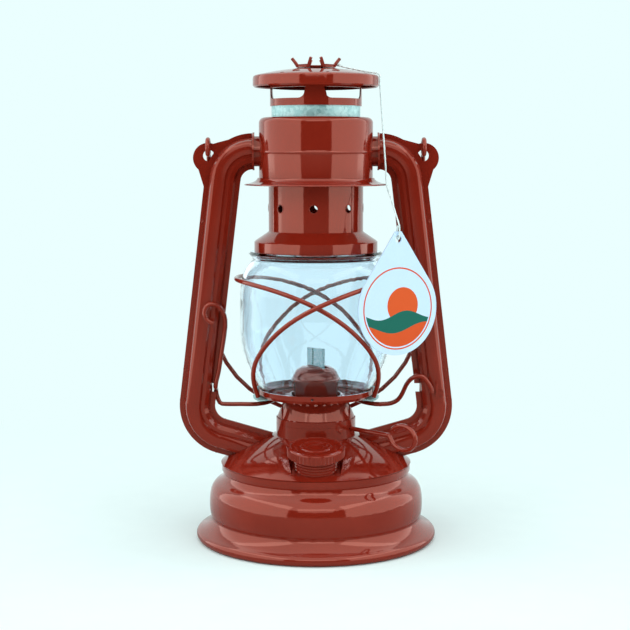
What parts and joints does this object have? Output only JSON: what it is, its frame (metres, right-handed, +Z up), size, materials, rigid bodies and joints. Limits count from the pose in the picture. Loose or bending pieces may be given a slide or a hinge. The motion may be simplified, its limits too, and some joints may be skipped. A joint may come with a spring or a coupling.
{
  "type": "hurricane lantern",
  "caption": "Cold-blast hurricane lantern with tubular side frame, glass globe in a wire guard, lever-lifted globe, screw filler cap, wire bail and hang tag.",
  "frame": {"origin": "centre of the foot rim, on the ground", "axes": "+Z up along the wick's axis, +X towards the right tube, -Y towards the filler at the front"},
  "size_m": [0.1512, 0.133, 0.264],
  "materials": {
    "red_enamel": "glossy enamel",
    "galvanised": "bright galvanised",
    "globe_glass": "clear",
    "brass": "satin",
    "cotton": "woven",
    "tag_card": "coated card",
    "seal_rubber": "matte"
  },
  "bodies": {
    "frame": {"tank_body": "red_enamel", "tank_bottom": "red_enamel", "tank_top": "red_enamel", "tank_collar": "red_enamel", "filler_neck": "red_enamel", "burner_body": "red_enamel", "burner_barrel": "red_enamel", "burner_dome": "red_enamel", "wick_tube": "brass", "left_tube_front": "red_enamel", "left_tube_back": "red_enamel", "right_tube_front": "red_enamel", "right_tube_back": "red_enamel", "lever_catch": "red_enamel", "left_tube_socket": "red_enamel", "right_tube_socket": "red_enamel", "air_chamber": "red_enamel", "chamber_skirt": "red_enamel", "hood_spring": "galvanised"},
    "lift_lever": {"lift_wire": "red_enamel"},
    "globe_carrier": {"globe_plate": "red_enamel", "left_plate_clip": "galvanised", "right_plate_clip": "galvanised", "left_guard_wire": "red_enamel", "right_guard_wire": "red_enamel", "globe": "globe_glass"},
    "hood": {"chimney_barrel": "red_enamel", "slide_tube": "galvanised", "spring_seat": "galvanised", "hood_cage": "red_enamel", "hood_lid": "red_enamel", "hood_crown": "red_enamel", "hang_tag": "tag_card", "tag_string": "cotton"},
    "bail": {"bail": "red_enamel"},
    "wick_drive": {"wick_shaft": "red_enamel", "wick_wheels": "brass"},
    "wick": {"wick": "cotton"},
    "cap_seal": {"cap_gasket": "seal_rubber"},
    "fuel_cap": {"fuel_cap": "red_enamel"}
  },
  "joints": [
    {"name": "globe_lever", "type": "hinge", "parent": "frame", "child": "lift_lever", "pos_m": [0, 0, 0.0836], "axis": [1, 0, 0], "range_deg": [0, 25]},
    {"name": "globe_lift", "type": "slide", "parent": "frame", "child": "globe_carrier", "axis": [0, 0, 1], "range_m": [0, 0.0123], "deforming": ["hood_spring"]},
    {"name": "hood_lift", "type": "slide", "parent": "globe_carrier", "child": "hood", "axis": [0, 0, 1], "range_m": [0, 0.009], "stiffness_N_per_m": 150, "springref_m": -0.011, "deforming": ["hood_spring"]},
    {"name": "bail_swing", "type": "hinge", "parent": "frame", "child": "bail", "pos_m": [0, 0, 0.216], "axis": [1, 0, 0], "range_deg": [0, 250]},
    {"name": "knob_turn", "type": "hinge", "parent": "frame", "child": "wick_drive", "pos_m": [0.00396, 0.00396, 0.0626], "axis": [-0.7071, 0.7071, 0], "range_deg": [-130, 65]},
    {"name": "wick_raise", "type": "slide", "parent": "frame", "child": "wick", "axis": [0, 0, 1], "range_m": [-0.0106, 0.0053]},
    {"name": "cap_rise", "type": "slide", "parent": "frame", "child": "cap_seal", "axis": [0, -0.1736, 0.9848], "range_m": [0, 0.0024]},
    {"name": "cap_turn", "type": "hinge", "parent": "cap_seal", "child": "fuel_cap", "pos_m": [0, -0.0396, 0.046], "axis": [0, -0.1736, 0.9848], "range_deg": [0, 576]}
  ],
  "couplings": [
    {"joint": "globe_lever", "follows": "globe_lift", "rad_per_m": 35.336},
    {"joint": "knob_turn", "follows": "wick_raise", "rad_per_m": 212.77},
    {"joint": "cap_turn", "follows": "cap_rise", "rad_per_m": 4188.8}
  ]
}
